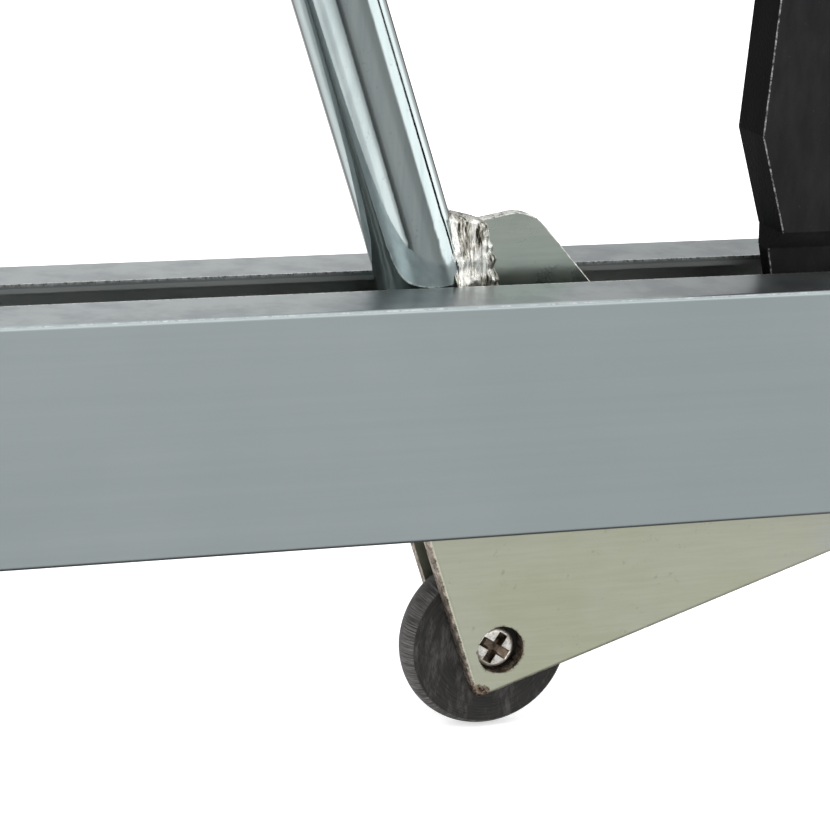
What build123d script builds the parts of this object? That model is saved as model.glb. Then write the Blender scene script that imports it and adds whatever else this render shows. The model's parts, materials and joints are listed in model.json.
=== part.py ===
from build123d import *
from math import atan2, cos, radians, sin, tan
import os

# Folding sawhorse: two A-shaped end frames that fold up under a C-profile beam.
#
# Each end frame stands on a slotted C-profile rail. Two leg tubes rise from the rail's slot, pinched flat at the
# foot so that they pass the slot and seat between the plates of a shoe. The shoe on the roller side carries a
# small roller and its brake lever, the one on the other side a rubber foot, so that the sawhorse is lifted at the
# foot side and wheeled away. At the top the tubes meet on a barrel that turns on a bolt under the beam. A clamp
# knob on an arc slot holds each frame open or folded. The rear frame hinges lower, so the two stack flat.
#
# Axes: X along the rails, towards the rollers; Y along the beam, from front to rear; Z up. Origin on the floor,
# under the middle. Millimetres.

# ---- driving dimensions -------------------------------------------------------------------------------------
FRAME_SPACING = 820.0      # between the two end frames' mid planes
RAIL_LENGTH = 840.0
BEAM_LENGTH = 940.0
PROFILE_SIZE = 50.8        # square C-profile, used for rails and beam
PROFILE_WALL = 2.0
PROFILE_BEND = 1.0         # outside corner radius
SLOT_WIDTH = 17.6
RAIL_UNDERSIDE_Z = 51.35
BEAM_UNDERSIDE_Z = 686.0

LEG_TILT = 19.5            # from vertical
LEG_FOOT_X = 270.8         # where a leg's axis meets the rail's underside
TUBE_R = 9.5
TUBE_WALL = 1.5
PINCH_HALF_WIDTH = 12.3
PINCH_HALF_THICKNESS = 4.4
PINCH_END, PINCH_FULL, PINCH_START = 5.0, 35.3, 72.8    # along the leg, from the rail's underside

SHOE_TILT = 18.5           # of the shoe's lower edge, from horizontal
SHOE_PLATE = 4.0
SHOE_EDGE_R = 1.1          # rolled over on the outer faces by the punch
SHOE_GAP = 9.0
SHOE_CORNER = (-3.7, -43.1)    # lower corner, from the leg's foot point
SHOE_TOP = 31.8
SHOE_REACH = 122.6
SHOE_CORNER_R = 1.6
GUSSET_PLATE = 3.0

ROLLER_R, ROLLER_WIDTH = 19.55, 8.2
ROLLER_CROWN = 1.4             # how much larger its radius is at mid width than at its faces
ROLLER_AXIS = (0.45, -31.8)    # from the leg's foot point
HEAD_HOLE_SHIFT = 0.8          # of the outer plate's hole, towards the frame's end
SLEEVE_R, SCREW_R = 4.0, 2.5
SCREW_HEAD_R, SCREW_HEAD_H = 4.6, 2.6
HEAD_HOLE_R = 5.4

BRAKE_PIVOT = (38.6, 8.8)      # from the leg's foot point
BRAKE_PIN_R, BRAKE_HUB_R = 3.0, 8.0
BRAKE_TANG, BRAKE_BODY = 5.0, 12.8     # thicknesses
BRAKE_SWING = 30.0
BRAKE_GAP = 0.4                # between toe and roller, applied

CROSSBAR_Z = 330.0
HINGE_DROP = {"front": 31.0, "rear": 85.0}     # hinge axis below the beam
BARREL_R, BARREL_BORE, BARREL_HALF = 15.0, 12.0, 110.0
BOLT_R = 6.0
EAR_PLATE, EAR_INSIDE = 4.0, 114.0
EAR_R, ARC_R, STUD_R = 46.0, 36.0, 4.0
BRACKET_BOLT_R = 4.0
BRACKET_BOLT_Y = 30.0          # each side of a hinge bracket's middle
PAD_LENGTH = 900.0
SIDE = {"front": -1.0, "rear": 1.0}

HALF = PROFILE_SIZE / 2
WELD_FIT = 0.05                # gap left where two curved faces meet
os.makedirs("parts", exist_ok=True)


# ---- helpers ------------------------------------------------------------------------------------------------
def save(name, shape):
    """Write one sub-part."""
    export_step(Compound(shape.solids()), f"parts/{name}.step")


def plate_xz(points, y_middle, thickness):
    """A plate in an XZ plane, from its outline's (x, z) points."""
    y = y_middle - thickness / 2
    outline = Polyline(*[(px, y, pz) for px, pz in points], close=True)
    return extrude(make_face(outline), amount=thickness, dir=(0, 1, 0))


def rod_y(x, y_middle, z, radius, length):
    """A round bar along Y."""
    return Pos(x, y_middle, z) * Rot(90, 0, 0) * Cylinder(radius, length)


def rod_x(x_middle, y, z, radius, length):
    """A round bar along X."""
    return Pos(x_middle, y, z) * Rot(0, 90, 0) * Cylinder(radius, length)


def from_foot(point, side=1.0):
    """(x, z) of a point given from the leg's foot point, on the roller side (1) or the foot side (-1)."""
    return side * (LEG_FOOT_X + point[0]), RAIL_UNDERSIDE_Z + point[1]


def hexagon_bar(across, length):
    """A hexagonal bar along Z."""
    return extrude(RegularPolygon(across / 2, 6, major_radius=False), amount=length)


# ---- C-profile ----------------------------------------------------------------------------------------------
def c_profile():
    """The slotted section, drawn in the sketch plane with its slot towards +Y."""
    section = RectangleRounded(PROFILE_SIZE, PROFILE_SIZE, PROFILE_BEND)
    inside = PROFILE_SIZE - 2 * PROFILE_WALL
    section -= Rectangle(inside, inside)
    return section - Pos(0, HALF) * Rectangle(SLOT_WIDTH, 4 * PROFILE_WALL)


def make_rail(y):
    """A rail along X, with a window in its web for each shoe."""
    plane = Plane(origin=(-RAIL_LENGTH / 2, y, RAIL_UNDERSIDE_Z + HALF), x_dir=(0, 1, 0), z_dir=(1, 0, 0))
    rail = extrude(plane * c_profile(), amount=RAIL_LENGTH)
    window_start, window_end = -20.0, SHOE_REACH + 0.6
    length = window_end - window_start
    width = SHOE_GAP + 2 * SHOE_PLATE + 0.4
    for side in (1, -1):
        x = side * (LEG_FOOT_X + (window_start + window_end) / 2)
        rail -= Pos(x, y, RAIL_UNDERSIDE_Z) * Box(length, width, 3 * PROFILE_WALL)
    return rail


def make_beam():
    """The beam along Y, its slot upwards."""
    plane = Plane(origin=(0, -BEAM_LENGTH / 2, BEAM_UNDERSIDE_Z + HALF), x_dir=(-1, 0, 0), z_dir=(0, 1, 0))
    beam = extrude(plane * c_profile(), amount=BEAM_LENGTH)
    for x, y in bracket_bolt_places():
        beam -= Pos(x, y, BEAM_UNDERSIDE_Z) * Cylinder(BRACKET_BOLT_R + 0.25, 3 * PROFILE_WALL)
    return beam


def end_cap():
    """A moulded cap, its flange facing +Z, its plug down into the profile."""
    flange, plug_depth, fit = 3.0, 14.0, 0.15
    inside = PROFILE_SIZE - 2 * PROFILE_WALL - 2 * fit
    cap = extrude(RectangleRounded(PROFILE_SIZE, PROFILE_SIZE, PROFILE_BEND), amount=flange)
    cap = fillet(cap.faces().sort_by(Axis.Z)[-1].edges(), 1.2)
    plug = Rectangle(inside, inside) - Rectangle(inside - 5, inside - 5)
    return cap + extrude(plug, amount=-plug_depth)


def rail_caps(y):
    """The caps of both ends of a rail."""
    z = RAIL_UNDERSIDE_Z + HALF
    right = Pos(RAIL_LENGTH / 2, y, z) * Rot(0, 90, 0) * end_cap()
    left = Pos(-RAIL_LENGTH / 2, y, z) * Rot(0, -90, 0) * end_cap()
    return Compound([right.solid(), left.solid()])


def beam_caps():
    """The caps of both ends of the beam."""
    z = BEAM_UNDERSIDE_Z + HALF
    rear = Pos(0, BEAM_LENGTH / 2, z) * Rot(-90, 0, 0) * end_cap()
    front = Pos(0, -BEAM_LENGTH / 2, z) * Rot(90, 0, 0) * end_cap()
    return Compound([rear.solid(), front.solid()])


# ---- leg tubes ----------------------------------------------------------------------------------------------
def leg_plane(y, side, along):
    """A section plane square to a leg's axis, this far along it from the rail's underside."""
    tilt = radians(LEG_TILT)
    axis = Vector(-side * sin(tilt), 0, cos(tilt))
    x, z = from_foot((0, 0), side)
    return Plane(origin=Vector(x, y, z) + axis * along, x_dir=(cos(tilt), 0, side * sin(tilt)), z_dir=axis)


def leg_body(y, side, top, inset):
    """A leg's outer form, or its bore where inset is the tube's wall."""
    steps = 8
    sections = []
    for i in range(steps + 1):
        share = i / steps
        blend = 1 - (1 - share) ** 2.75
        along = PINCH_FULL + share * (PINCH_START - PINCH_FULL)
        width = PINCH_HALF_WIDTH + blend * (TUBE_R - PINCH_HALF_WIDTH) - inset
        thick = PINCH_HALF_THICKNESS + blend * (TUBE_R - PINCH_HALF_THICKNESS) - inset
        sections.append(leg_plane(y, side, along) * Ellipse(width, thick))
    flat = extrude(leg_plane(y, side, PINCH_END) * Ellipse(PINCH_HALF_WIDTH - inset, PINCH_HALF_THICKNESS - inset),
                   amount=PINCH_FULL - PINCH_END)
    tube = extrude(leg_plane(y, side, PINCH_START) * Circle(TUBE_R - inset), amount=top - PINCH_START)
    return flat + loft(sections) + tube


def hinge_z(end):
    """Height of an end frame's hinge axis."""
    return BEAM_UNDERSIDE_Z - HINGE_DROP[end]


def make_leg(end, side):
    """A hollow leg tube, coped at the top to fit the barrel."""
    y = SIDE[end] * FRAME_SPACING / 2
    top = (hinge_z(end) - RAIL_UNDERSIDE_Z) / cos(radians(LEG_TILT))
    leg = leg_body(y, side, top, 0) - leg_body(y, side, top + 5, TUBE_WALL)
    return leg - rod_x(0, y, hinge_z(end), BARREL_R + WELD_FIT, 2 * BARREL_HALF)


def make_crossbar(end):
    """The tie between the two legs, coped to fit them."""
    y = SIDE[end] * FRAME_SPACING / 2
    half = LEG_FOOT_X - (CROSSBAR_Z - RAIL_UNDERSIDE_Z) * tan(radians(LEG_TILT))
    bar = rod_x(0, y, CROSSBAR_Z, TUBE_R, 2 * half) - rod_x(0, y, CROSSBAR_Z, TUBE_R - TUBE_WALL, 2 * half + 2)
    for side in (1, -1):
        cope = leg_plane(y, side, PINCH_START) * Circle(TUBE_R + WELD_FIT)
        bar -= extrude(cope, amount=500)
    return bar


def make_gusset(end, side):
    """The plate welded to a leg's outer side where it enters the rail, with a round shoulder."""
    y = SIDE[end] * FRAME_SPACING / 2
    shoulder, shoulder_r = (5.6, 65.6), 9.0
    outline = [(-14.0, 61.9), shoulder, (31.0, 37.2), (24.0, 14.0), (4.0, 10.0)]
    plate = plate_xz([from_foot(p, side) for p in outline], y, GUSSET_PLATE)
    x, z = from_foot(shoulder, side)
    corner = plate.edges().filter_by(Axis.Y).sort_by_distance((x, y, z))[0]
    plate = fillet(corner, shoulder_r)
    plate = chamfer(plate.faces().filter_by(Axis.Y).edges(), 0.25)
    return plate - leg_body(y, side, PINCH_START + 40, -WELD_FIT)


# ---- shoes, roller and foot ---------------------------------------------------------------------------------
def shoe_outline():
    """The shoe plate's (x, z) points, from the leg's foot point. Its end is parallel to the leg."""
    slope, lean = tan(radians(SHOE_TILT)), tan(radians(LEG_TILT))
    x0, z0 = SHOE_CORNER
    return [
        (x0, z0),
        (SHOE_REACH, z0 + slope * (SHOE_REACH - x0)),
        (SHOE_REACH, 4.8),
        (84.6, 10.8),
        (44.6, SHOE_TOP),
        (x0 - lean * (SHOE_TOP - z0), SHOE_TOP),
    ]


def shoe_plate(end, side, outer):
    """One plate of a shoe: outer faces away from the sawhorse's middle."""
    out = SIDE[end] if outer else -SIDE[end]
    y = SIDE[end] * FRAME_SPACING / 2 + out * (SHOE_GAP + SHOE_PLATE) / 2
    plate = plate_xz([from_foot(p, side) for p in shoe_outline()], y, SHOE_PLATE)
    x, z = from_foot(SHOE_CORNER, side)
    corner = plate.edges().filter_by(Axis.Y).sort_by_distance((x, y, z))[0]
    plate = fillet(corner, SHOE_CORNER_R)
    show = plate.faces().filter_by(Axis.Y).sort_by(Axis.Y)[-1 if out > 0 else 0]
    plate = fillet(show.edges(), SHOE_EDGE_R)
    x, z = from_foot(ROLLER_AXIS, side)
    if outer:
        plate -= rod_y(x + side * HEAD_HOLE_SHIFT, y, z, HEAD_HOLE_R, 2 * SHOE_PLATE)
    else:
        plate -= rod_y(x, y, z, SCREW_R, 2 * SHOE_PLATE)
    if side > 0:
        x, z = from_foot(BRAKE_PIVOT, side)
        plate -= rod_y(x, y, z, BRAKE_PIN_R, 2 * SHOE_PLATE)
    return plate


def make_roller(end):
    """A solid roller with a crowned tread, turned about its axis."""
    y = SIDE[end] * FRAME_SPACING / 2
    x, z = from_foot(ROLLER_AXIS)
    half, bore, face_r, rim = ROLLER_WIDTH / 2, SLEEVE_R + 0.08, ROLLER_R - ROLLER_CROWN, 0.2
    near_face = Polyline((face_r, -half + rim), (face_r - rim, -half), (bore, -half))
    far_face = Polyline((bore, half), (face_r - rim, half), (face_r, half - rim))
    tread = ThreePointArc((face_r, half - rim), (ROLLER_R, 0), (face_r, -half + rim))
    section = make_face(near_face + Line((bore, -half), (bore, half)) + far_face + tread)
    return Pos(x, y, z) * revolve(section, Axis.Y)


def screw_recess():
    """A cross recess with tapered wings, cut down from Z 0."""
    depth, wing, width = 1.9, 3.8, 2.25
    recess = None
    for turn in (0, 90):
        top = Rot(0, 0, turn) * Rectangle(2 * wing, width)
        foot = Pos(0, 0, -depth) * Rot(0, 0, turn) * Rectangle(wing, width * 0.65)
        blade = loft([top, foot])
        recess = blade if recess is None else recess + blade
    return recess


def pan_screw(length, turn):
    """A pan-head screw along -Z, the underside of its head at Z 0."""
    head = fillet(Cylinder(SCREW_HEAD_R, SCREW_HEAD_H, align=(Align.CENTER, Align.CENTER, Align.MIN))
                  .faces().sort_by(Axis.Z)[-1].edges(), 1.1)
    head -= Pos(0, 0, SCREW_HEAD_H) * Rot(0, 0, turn) * screw_recess()
    shank = Cylinder(SCREW_R, length, align=(Align.CENTER, Align.CENTER, Align.MAX))
    return head + shank


def shoe_screw_place(end, x, z, lift):
    """Where a shoe's screw head sits: facing out, its seat this far outside the gap's edge."""
    out = SIDE[end]
    y = out * (FRAME_SPACING / 2 + SHOE_GAP / 2 + lift)
    return Location(Plane(origin=(x, y, z), x_dir=(-out, 0, 0), z_dir=(0, out, 0)))


def shoe_screws(end):
    """The roller's and the foot's screws, their heads sunk in the outer plates."""
    length = SHOE_GAP + SHOE_PLATE + 7.0
    screws = []
    for side, turn in ((1, 58), (-1, 20)):
        x, z = from_foot(ROLLER_AXIS, side)
        screws.append((shoe_screw_place(end, x, z, 0.0) * pan_screw(length, turn)).solid())
    return Compound(screws)


def shoe_nuts(end):
    """Lock nuts on the inner plates."""
    nuts = []
    nut = hexagon_bar(8.0, 4.6) - Cylinder(SCREW_R, 20)
    for side in (1, -1):
        x, z = from_foot(ROLLER_AXIS, side)
        y = SIDE[end] * (FRAME_SPACING / 2 - SHOE_GAP / 2 - SHOE_PLATE)
        seat = Plane(origin=(x, y, z), x_dir=(1, 0, 0), z_dir=(0, -SIDE[end], 0))
        nuts.append((Location(seat) * nut).solid())
    return Compound(nuts)


def axle_sleeves(end):
    """Spacer sleeves between the plates: the roller's axle, and the foot's."""
    y = SIDE[end] * FRAME_SPACING / 2
    sleeves = []
    for side in (1, -1):
        x, z = from_foot(ROLLER_AXIS, side)
        sleeves.append((rod_y(x, y, z, SLEEVE_R, SHOE_GAP) - rod_y(x, y, z, SCREW_R, 2 * SHOE_GAP)).solid())
    return Compound(sleeves)


def make_rubber_foot(end):
    """A rubber block pushed up over the shoe's lower corner."""
    y = SIDE[end] * FRAME_SPACING / 2
    x, z = from_foot(ROLLER_AXIS, -1)
    height, width, length = 30.0, 28.0, 40.0
    foot = Pos(x - 2, y, height / 2) * Box(length, width, height)
    foot = fillet(foot.edges().filter_by(Axis.Z), 5.0)
    foot = fillet(foot.faces().sort_by(Axis.Z)[-1].edges(), 1.5)
    pocket = [from_foot(p, -1) for p in shoe_outline()]
    foot -= plate_xz(pocket, y, SHOE_GAP + 2 * SHOE_PLATE)
    foot -= rod_y(x, y, z, HEAD_HOLE_R, 2 * width)
    groove_pitch, groove_depth = 8.0, 1.5
    for i in range(-2, 3):
        foot -= Pos(x - 2 + i * groove_pitch, y, 0) * Box(2.0, 2 * width, 2 * groove_depth)
    return foot


# ---- brake --------------------------------------------------------------------------------------------------
def lever_paddle(y, middle):
    """The part above the rail: a tapered pad, drawn in to the tang's thickness at its lower end."""
    right = [(11.2, 59.1), (17.8, 80.8), (13.6, 150.8), (9.0, 156.8)]
    left = [(-dx, dz) for dx, dz in reversed(right)]
    pad = plate_xz([from_foot((middle + dx, dz)) for dx, dz in right + left], y, BRAKE_BODY)
    pad = chamfer(pad.faces().filter_by(Axis.Y).edges(), 0.25)
    x, z = from_foot((middle, 59.4))
    neck_width, neck_drop, neck_shift = 22.2, 4.4, -1.6
    neck = loft([
        Pos(x, y, z) * Rectangle(neck_width, BRAKE_BODY - 0.6),
        Pos(x + neck_shift, y, z - neck_drop) * Rectangle(neck_width, BRAKE_TANG),
    ])
    return pad + neck


def lever_tang(y, middle):
    """The thinner part that passes the rail's slot down to the pivot."""
    px, pz = BRAKE_PIVOT
    outline = [(middle - 10.0, 62.0), (middle + 9.5, 62.0), (middle + 9.5, 54.8), (middle + 6.0, 40.8),
               (px + 6.5, pz - 4.7), (px - 6.0, pz + 5.3), (middle - 10.0, 42.8), (middle - 12.7, 54.7)]
    tang = plate_xz([from_foot(p) for p in outline], y, BRAKE_TANG)
    return chamfer(tang.faces().filter_by(Axis.Y).edges(), 0.25)


def lever_toe(y):
    """The tapered toe, which stops BRAKE_GAP short of the roller when the lever is swung over."""
    px, pz = BRAKE_PIVOT
    dx, dz = ROLLER_AXIS[0] - px, ROLLER_AXIS[1] - pz
    reach = (dx * dx + dz * dz) ** 0.5 - ROLLER_R - BRAKE_GAP
    rest = atan2(dz, dx) + radians(BRAKE_SWING)
    root_half, tip_half = 5.0, 3.4
    toe = []
    for along, across in ((0, root_half), (reach, tip_half), (reach, -tip_half), (0, -root_half)):
        toe.append((px + along * cos(rest) - across * sin(rest), pz + along * sin(rest) + across * cos(rest)))
    return plate_xz([from_foot(p) for p in toe], y, BRAKE_TANG)


def make_brake_lever(end):
    """A moulded lever: a paddle above the rail, a thinner tang through its slot, and a toe for the roller."""
    y = SIDE[end] * FRAME_SPACING / 2
    middle = 74.9                       # of the paddle, from the leg's foot point
    x, z = from_foot(BRAKE_PIVOT)
    hub = rod_y(x, y, z, BRAKE_HUB_R, SHOE_GAP - 0.4)
    lever = lever_paddle(y, middle) + lever_tang(y, middle) + hub + lever_toe(y)
    return lever - rod_y(x, y, z, BRAKE_PIN_R + 0.06, 2 * SHOE_GAP)


def make_brake_pin(end):
    """A rivet through both plates, with a low head each side."""
    y = SIDE[end] * FRAME_SPACING / 2
    x, z = from_foot(BRAKE_PIVOT)
    outside = SHOE_GAP / 2 + SHOE_PLATE
    pin = rod_y(x, y, z, BRAKE_PIN_R, 2 * outside)
    for out in (1, -1):
        pin += rod_y(x, y + out * (outside + 0.75), z, 5.0, 1.5)
    return pin


# ---- hinge head ---------------------------------------------------------------------------------------------
def make_barrel(end):
    """The tube across the top of an end frame, which turns on the pivot bolt."""
    y = SIDE[end] * FRAME_SPACING / 2
    z = hinge_z(end)
    return rod_x(0, y, z, BARREL_R, 2 * BARREL_HALF) - rod_x(0, y, z, BARREL_BORE, 2 * BARREL_HALF + 2)


def pivot_bushes(end):
    """Flanged nylon bushes in the barrel's ends."""
    y = SIDE[end] * FRAME_SPACING / 2
    z = hinge_z(end)
    flange, depth = EAR_INSIDE - BARREL_HALF - 0.3, 20.0
    bushes = []
    for side in (1, -1):
        bush = rod_x(side * (BARREL_HALF + flange / 2), y, z, BARREL_R, flange)
        bush += rod_x(side * (BARREL_HALF - depth / 2), y, z, BARREL_BORE, depth)
        bush -= rod_x(side * BARREL_HALF, y, z, BOLT_R + 0.08, 4 * depth)
        bushes.append(bush.solid())
    return Compound(bushes)


def lock_plate(end):
    """The arm on the barrel that carries the clamp stud down to the arc slot."""
    y = SIDE[end] * FRAME_SPACING / 2
    z = hinge_z(end)
    thickness, tip_r, root_r = 3.0, 10.0, BARREL_R + 5.0
    x = BARREL_HALF - thickness / 2
    plate = rod_x(x, y, z, root_r, thickness) + rod_x(x, y, z - ARC_R, tip_r, thickness)
    neck = Pos(x, y, z - ARC_R / 2) * Box(thickness, 2 * tip_r, ARC_R)
    plate += neck
    plate -= rod_x(x, y, z, BARREL_R + WELD_FIT, 4 * thickness)
    return plate - rod_x(x, y, z - ARC_R, STUD_R, 4 * thickness)


def clamp_stud(end):
    """A stud from the lock plate out through the ear, into the knob."""
    y = SIDE[end] * FRAME_SPACING / 2
    z = hinge_z(end) - ARC_R
    inner, outer = BARREL_HALF - 3.0, EAR_INSIDE + EAR_PLATE + 12.0
    stud = rod_x((inner + outer) / 2, y, z, STUD_R, outer - inner)
    return stud + rod_x(inner - 2.0, y, z, 8.0, 4.0)


def friction_washer(end):
    """The washer between the lock plate and the ear."""
    y = SIDE[end] * FRAME_SPACING / 2
    z = hinge_z(end) - ARC_R
    thickness = EAR_INSIDE - BARREL_HALF - 0.3
    x = BARREL_HALF + thickness / 2
    return rod_x(x, y, z, 9.0, thickness) - rod_x(x, y, z, STUD_R, 4 * thickness)


def clamp_knob(end):
    """A five-lobed knob outside the ear."""
    y = SIDE[end] * FRAME_SPACING / 2
    z = hinge_z(end) - ARC_R
    height, boss, lobes, lobe_r, pitch_r = 14.0, 2.0, 5, 7.0, 13.0
    outline = Circle(14.0)
    for i in range(lobes):
        angle = radians(360 / lobes * i + 90)
        outline += Pos(pitch_r * cos(angle), pitch_r * sin(angle)) * Circle(lobe_r)
    outline = fillet(outline.vertices(), 2.5)
    knob = extrude(outline, amount=height)
    knob = chamfer(knob.faces().sort_by(Axis.Z)[-1].edges(), 1.2)
    knob += Cylinder(9.0, boss, align=(Align.CENTER, Align.CENTER, Align.MAX))
    blind = Cylinder(STUD_R + 0.06, 13.0 + boss, align=(Align.CENTER, Align.CENTER, Align.MIN))
    knob -= Pos(0, 0, -boss) * blind
    seat = EAR_INSIDE + EAR_PLATE + 0.3 + boss
    return Pos(seat, y, z) * Rot(0, 90, 0) * knob


def hinge_bracket(end):
    """The U-shaped bracket under the beam, with an arc slot in its right ear."""
    y = SIDE[end] * FRAME_SPACING / 2
    z = hinge_z(end)
    full = 2 * (EAR_INSIDE + EAR_PLATE)
    drop = BEAM_UNDERSIDE_Z - z
    bracket = Pos(0, y, BEAM_UNDERSIDE_Z - drop / 2) * Box(full, 2 * EAR_R, drop)
    bracket += rod_x(0, y, z, EAR_R, full)
    hollow = Pos(0, y, BEAM_UNDERSIDE_Z - EAR_PLATE - 100) * Box(2 * EAR_INSIDE, 4 * EAR_R, 200)
    bracket -= hollow
    bracket -= Pos(0, y, BEAM_UNDERSIDE_Z + 50) * Box(2 * full, 4 * EAR_R, 100)
    bracket -= rod_x(0, y, z, BOLT_R, 2 * full)
    inward = -SIDE[end]
    clear = STUD_R + 0.5
    ring = rod_x(EAR_INSIDE, y, z, ARC_R + clear, 40) - rod_x(EAR_INSIDE, y, z, ARC_R - clear, 44)
    quarter = Pos(EAR_INSIDE, y + inward * 50, z - 50) * Box(40, 100, 100)
    slot = ring & quarter
    slot += rod_x(EAR_INSIDE, y, z - ARC_R, clear, 40)
    slot += rod_x(EAR_INSIDE, y + inward * ARC_R, z, clear, 40)
    bracket -= slot
    for x, by in bracket_bolt_places():
        if by * SIDE[end] > 0:
            bracket -= Pos(x, by, BEAM_UNDERSIDE_Z) * Cylinder(BRACKET_BOLT_R + 0.25, 6 * EAR_PLATE)
    return bracket


def pivot_bolts():
    """The two bolts that the end frames turn on."""
    bolts = []
    reach = EAR_INSIDE + EAR_PLATE
    for end in SIDE:
        place = Pos(-reach, SIDE[end] * FRAME_SPACING / 2, hinge_z(end)) * Rot(0, -90, 0)
        head = chamfer(hexagon_bar(19.0, 7.5).faces().sort_by(Axis.Z)[-1].edges(), 0.9)
        shank = Cylinder(BOLT_R, 2 * reach + 14, align=(Align.CENTER, Align.CENTER, Align.MAX))
        bolts.append((place * (head + shank)).solid())
    return Compound(bolts)


def pivot_nuts():
    """Their lock nuts."""
    nuts = []
    reach = EAR_INSIDE + EAR_PLATE
    for end in SIDE:
        nut = hexagon_bar(19.0, 12.0) - Cylinder(BOLT_R, 40)
        nuts.append((Pos(reach, SIDE[end] * FRAME_SPACING / 2, hinge_z(end)) * Rot(0, 90, 0) * nut).solid())
    return Compound(nuts)


def bracket_bolt_places():
    """(x, y) of the bolts that hold the brackets to the beam."""
    return [(0.0, SIDE[end] * FRAME_SPACING / 2 + dy) for end in SIDE for dy in (-BRACKET_BOLT_Y, BRACKET_BOLT_Y)]


def bracket_bolts():
    """Low-head bolts from inside the beam, with nuts under the brackets."""
    bolts = []
    floor = BEAM_UNDERSIDE_Z + PROFILE_WALL
    for x, y in bracket_bolt_places():
        bolt = Pos(x, y, floor) * Cylinder(7.5, 3.0, align=(Align.CENTER, Align.CENTER, Align.MIN))
        bolt += Pos(x, y, floor) * Cylinder(BRACKET_BOLT_R, 12.5, align=(Align.CENTER, Align.CENTER, Align.MAX))
        bolt += Pos(x, y, BEAM_UNDERSIDE_Z - EAR_PLATE) * Rot(180, 0, 0) * hexagon_bar(13.0, 5.0)
        bolts.append(bolt.solid())
    return Compound(bolts)


# ---- beam fittings ------------------------------------------------------------------------------------------
def beam_pad():
    """The ribbed strip that the work rests on, keyed into the beam's slot."""
    top = BEAM_UNDERSIDE_Z + PROFILE_SIZE
    height, rib, pitch = 7.0, 1.2, 7.0
    pad = Pos(0, 0, top + height / 2) * Box(46.0, PAD_LENGTH, height)
    pad = fillet(pad.edges().filter_by(Axis.Z), 4.0)
    for i in range(-2, 4):
        x = (i - 0.5) * pitch
        pad -= Pos(x, 0, top + height) * Box(2.2, PAD_LENGTH - 16, 2 * rib)
    key = Pos(0, 0, top - 4) * Box(SLOT_WIDTH - 0.4, PAD_LENGTH - 10, 8.0)
    barb = Pos(0, 0, top - PROFILE_WALL - 1.7) * Box(SLOT_WIDTH + 3.0, PAD_LENGTH - 10, 3.0)
    return pad + key + barb


# ---- write every sub-part -----------------------------------------------------------------------------------
def save_end_frame(end):
    """One end frame's sub-parts."""
    y = SIDE[end] * FRAME_SPACING / 2
    save(f"rail_{end}", make_rail(y))
    save(f"rail_caps_{end}", rail_caps(y))
    for side, word in ((1, "roller_side"), (-1, "foot_side")):
        save(f"leg_tube_{word}_{end}", make_leg(end, side))
        save(f"gusset_{word}_{end}", make_gusset(end, side))
    save(f"crossbar_{end}", make_crossbar(end))
    save(f"roller_shoe_outer_{end}", shoe_plate(end, 1, True))
    save(f"roller_shoe_inner_{end}", shoe_plate(end, 1, False))
    save(f"foot_shoe_{end}", Compound([shoe_plate(end, -1, True).solid(), shoe_plate(end, -1, False).solid()]))
    save(f"roller_{end}", make_roller(end))
    save(f"axle_sleeves_{end}", axle_sleeves(end))
    save(f"shoe_screws_{end}", shoe_screws(end))
    save(f"shoe_nuts_{end}", shoe_nuts(end))
    save(f"brake_lever_{end}", make_brake_lever(end))
    save(f"brake_pin_{end}", make_brake_pin(end))
    save(f"rubber_foot_{end}", make_rubber_foot(end))
    save(f"pivot_barrel_{end}", make_barrel(end))
    save(f"pivot_bushes_{end}", pivot_bushes(end))
    save(f"lock_plate_{end}", lock_plate(end))
    save(f"clamp_stud_{end}", clamp_stud(end))
    save(f"friction_washer_{end}", friction_washer(end))
    save(f"clamp_knob_{end}", clamp_knob(end))
    save(f"hinge_bracket_{end}", hinge_bracket(end))


for end_name in SIDE:
    save_end_frame(end_name)
save("beam", make_beam())
save("beam_pad", beam_pad())
save("beam_caps", beam_caps())
save("pivot_bolts", pivot_bolts())
save("pivot_nuts", pivot_nuts())
save("bracket_bolts", bracket_bolts())
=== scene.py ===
"""The folding sawhorse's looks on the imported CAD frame: materials, welds, floor, light and camera."""
import json
import math
import bmesh
import bpy
from mathutils import Matrix, Vector, noise


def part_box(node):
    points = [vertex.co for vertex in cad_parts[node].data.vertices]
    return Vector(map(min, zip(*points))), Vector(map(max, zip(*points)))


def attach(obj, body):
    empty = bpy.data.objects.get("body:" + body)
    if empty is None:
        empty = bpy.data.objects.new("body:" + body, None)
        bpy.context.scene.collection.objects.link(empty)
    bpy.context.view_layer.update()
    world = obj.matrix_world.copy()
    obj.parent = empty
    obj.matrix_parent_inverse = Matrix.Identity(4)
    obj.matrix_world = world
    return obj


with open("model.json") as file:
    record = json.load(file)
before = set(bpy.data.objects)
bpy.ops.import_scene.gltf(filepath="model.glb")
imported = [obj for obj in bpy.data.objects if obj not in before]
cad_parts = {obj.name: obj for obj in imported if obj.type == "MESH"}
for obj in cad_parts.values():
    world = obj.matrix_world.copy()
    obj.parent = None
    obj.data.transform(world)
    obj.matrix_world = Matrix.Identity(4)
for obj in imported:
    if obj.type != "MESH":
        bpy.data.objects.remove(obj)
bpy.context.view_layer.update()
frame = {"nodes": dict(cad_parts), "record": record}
ENDS = ("front", "rear")
# Each leg stands on one side of the frame: +X has the roller, -X the rubber foot.
SIDES = ((1, "roller_side"), (-1, "foot_side"))
LEAN = math.radians(19.5)
# The X at which a leg's axis meets the rail's underside.
LEG_FOOT_X = 0.2708
TUBE_R = 0.0095
PROFILE_HALF = 0.0254
SLOT_HALF = 0.0088
WALL = 0.002


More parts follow.
